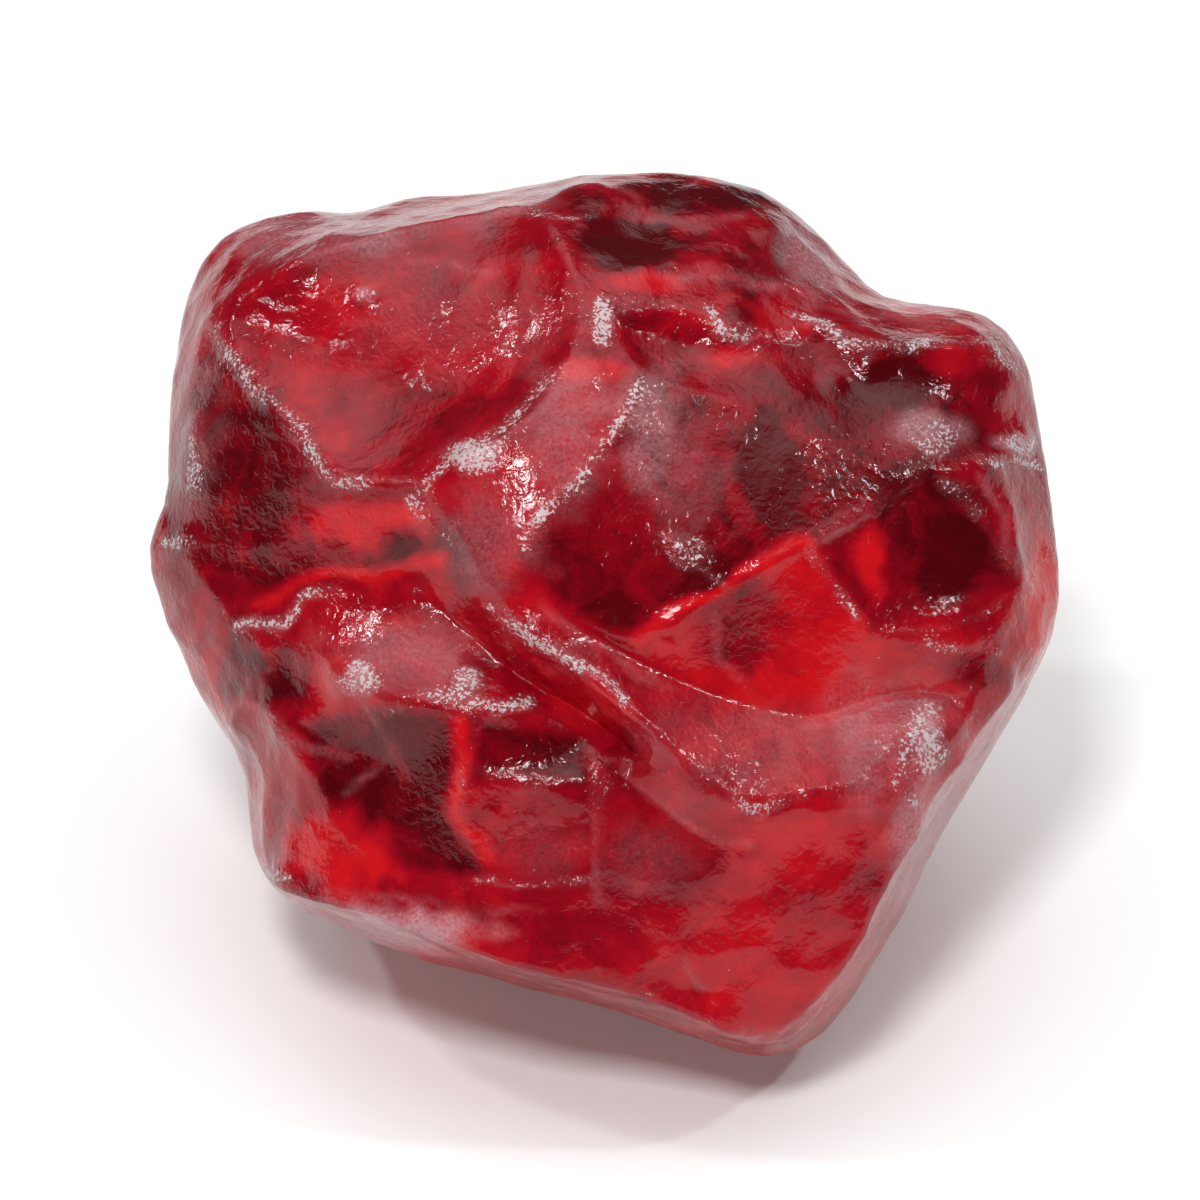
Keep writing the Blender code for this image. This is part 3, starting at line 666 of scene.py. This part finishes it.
# The painted frost and sheen is grainy, between half and one and a half times what is painted.
# Painted glints, white highlights, fill the crushed edges; elsewhere the same white makes rare
# dust specks. They show where the grain, raised by a share of the crush, passes a height.
GRAINS_PER_METRE = 11000.0
LEAST_PALE = 0.5
MOST_PALE = 1.5
CRUSH_SHARE = 0.33
GLINT_AND_DUST_FROM = 0.76
GLINT_AND_DUST_FULL = 0.82
crushed = painted("crush")
grains = noise(GRAINS_PER_METRE, detail=2.0, distortion=0.6)
frost_and_sheen_share = product(painted("frost_and_sheen"), spread(grains, 0.3, 0.7, LEAST_PALE, MOST_PALE))
glint_and_dust_height = nodes.new("ShaderNodeMath")
glint_and_dust_height.operation = "MULTIPLY_ADD"
glint_and_dust_height.inputs[1].default_value = CRUSH_SHARE
link(crushed, glint_and_dust_height.inputs[0])
link(grains, glint_and_dust_height.inputs[2])
glints_and_dust = spread(glint_and_dust_height.outputs["Value"], GLINT_AND_DUST_FROM, GLINT_AND_DUST_FULL, 0.0, 1.0)
frosted_and_sheened_red = covered(lit_and_clouded_red.outputs["Color"], FROST_AND_SHEEN_PINK, frost_and_sheen_share)
link(covered(frosted_and_sheened_red, GLINT_AND_DUST_WHITE, glints_and_dust), shader.inputs["Base Color"])

# A break is glassy, and a crushed edge a little less so. Fine wrinkles run over both, several
# times as high where it is crushed.
GLASSY = 0.12
CRUSHED_GLOSS = 0.20
WRINKLES_PER_METRE = 4200.0
WRINKLE_HEIGHT = 0.06 * MM
WRINKLE_STRENGTH = 0.8
WHOLE_WRINKLES = 0.55
CRUSHED_WRINKLES = 2.5
link(spread(crushed, 0.0, 1.0, GLASSY, CRUSHED_GLOSS), shader.inputs["Roughness"])
wrinkles = noise(WRINKLES_PER_METRE, detail=3.0, distortion=0.6)
wrinkle_bump = nodes.new("ShaderNodeBump")
wrinkle_bump.inputs["Distance"].default_value = WRINKLE_HEIGHT
wrinkle_bump.inputs["Strength"].default_value = WRINKLE_STRENGTH
wrinkle_share = spread(crushed, 0.0, 1.0, WHOLE_WRINKLES, CRUSHED_WRINKLES)
link(product(wrinkles, wrinkle_share), wrinkle_bump.inputs["Height"])
link(wrinkle_bump.outputs["Normal"], shader.inputs["Normal"])

surface.materials.clear()
surface.materials.append(crystal)
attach(ruby, "root")
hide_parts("ruby")

# The table: a plain pale sheet of paper, laid flat. It reaches far past the view on all sides
# and throws light up at the stone.
TABLE_REACH = 0.6
PALE = (0.90, 0.90, 0.90, 1.0)
WHITE = (1.0, 1.0, 1.0, 1.0)
MATT = 0.9
TABLE_GLOW = 0.1
table_mesh = bpy.data.meshes.new("table")
signs = ((-1, -1), (1, -1), (1, 1), (-1, 1))
table_corners = [(x * TABLE_REACH, y * TABLE_REACH, 0.0) for x, y in signs]
table_mesh.from_pydata(table_corners, [], [(0, 1, 2, 3)])
table = bpy.data.objects.new("table", table_mesh)
bpy.context.scene.collection.objects.link(table)
paper = bpy.data.materials.new("pale_paper")
paper.use_nodes = True
sheet = paper.node_tree.nodes["Principled BSDF"]
sheet.inputs["Base Color"].default_value = PALE
sheet.inputs["Roughness"].default_value = MATT
sheet.inputs["Specular IOR Level"].default_value = 0.0
sheet.inputs["Emission Color"].default_value = WHITE
sheet.inputs["Emission Strength"].default_value = TABLE_GLOW
table_mesh.materials.append(paper)

# The light: small bright lamps from the front and both sides, and a room that is pale overhead.
# A lamp stands away from the stone by so many cm, round to the right of the camera and up from
# the table by so many degrees, and has a side in cm and a radiance in watts per square metre and
# steradian.
CM = 0.01
LAMPS = {
    "front_box": (25.0, -12.0, 55.0, 4.0, 66.0),
    "left_box": (25.0, -92.0, 48.0, 1.8, 100.0),
    "right_box": (25.0, 84.0, 52.0, 1.8, 100.0),
}


def soft_box(name, away, round_by, height, side, radiance):
    """A square lamp turned to the stone. Its power is pi x radiance x area."""
    turn = math.radians(round_by)
    rise = math.radians(height)
    level = math.cos(rise)
    towards = Vector((math.sin(turn) * level, -math.cos(turn) * level, math.sin(rise)))
    lamp = bpy.data.lights.new(name, "AREA")
    lamp.shape = "SQUARE"
    lamp.size = side * CM
    lamp.energy = math.pi * radiance * lamp.size ** 2
    holder = bpy.data.objects.new(name, lamp)
    holder.location = INSIDE * MM + towards * away * CM
    holder.rotation_euler = towards.to_track_quat("Z", "Y").to_euler()
    bpy.context.scene.collection.objects.link(holder)


for name, lamp_values in LAMPS.items():
    soft_box(name, *lamp_values)

# The room is brightest towards a point nearly overhead. It is dim wherever the cosine of the angle
# from there is below this.
BRIGHTEST = (0.0, 0.2, 0.98)
DIM_BELOW = 0.75
DIM = 0.05
BRIGHT = 2.2
room = bpy.data.worlds.new("room")
bpy.context.scene.world = room
room.use_nodes = True
background = room.node_tree.nodes["Background"]
background.inputs["Color"].default_value = WHITE
direction = room.node_tree.nodes.new("ShaderNodeTexCoord")
overhead = room.node_tree.nodes.new("ShaderNodeVectorMath")
overhead.operation = "DOT_PRODUCT"
overhead.inputs[1].default_value = BRIGHTEST
room_glow = room.node_tree.nodes.new("ShaderNodeMapRange")
room_glow.inputs["From Min"].default_value = DIM_BELOW
room_glow.inputs["To Min"].default_value = DIM
room_glow.inputs["To Max"].default_value = BRIGHT
join = room.node_tree.links.new
join(direction.outputs["Generated"], overhead.inputs[0])
join(overhead.outputs["Value"], room_glow.inputs["Value"])
join(room_glow.outputs["Result"], background.inputs["Strength"])

# The camera: a long lens, looking down square-on to the stone's best side, and so far away that
# the view is 30 mm wide at the stone.
VIEW_WIDTH = 30.0 * MM
AIM_UP = 0.5 * MM
LENS = 250.0
SENSOR = 36.0
NEAREST_SEEN = 0.01
FARTHEST_SEEN = 5.0
lens = bpy.data.cameras.new("camera")
lens.lens = LENS
lens.sensor_width = SENSOR
lens.clip_start = NEAREST_SEEN
lens.clip_end = FARTHEST_SEEN
camera = bpy.data.objects.new("camera", lens)
bpy.context.scene.collection.objects.link(camera)
outwards = lean_back @ Vector((0.0, 0.0, 1.0))
upwards = lean_back @ Vector((0.0, 1.0, 0.0))
aim = INSIDE * MM + upwards * AIM_UP
camera.location = aim + outwards * (VIEW_WIDTH * LENS / SENSOR)
camera.rotation_euler = outwards.to_track_quat("Z", "Y").to_euler()
bpy.context.scene.camera = camera
bpy.context.scene.view_settings.view_transform = "Standard"
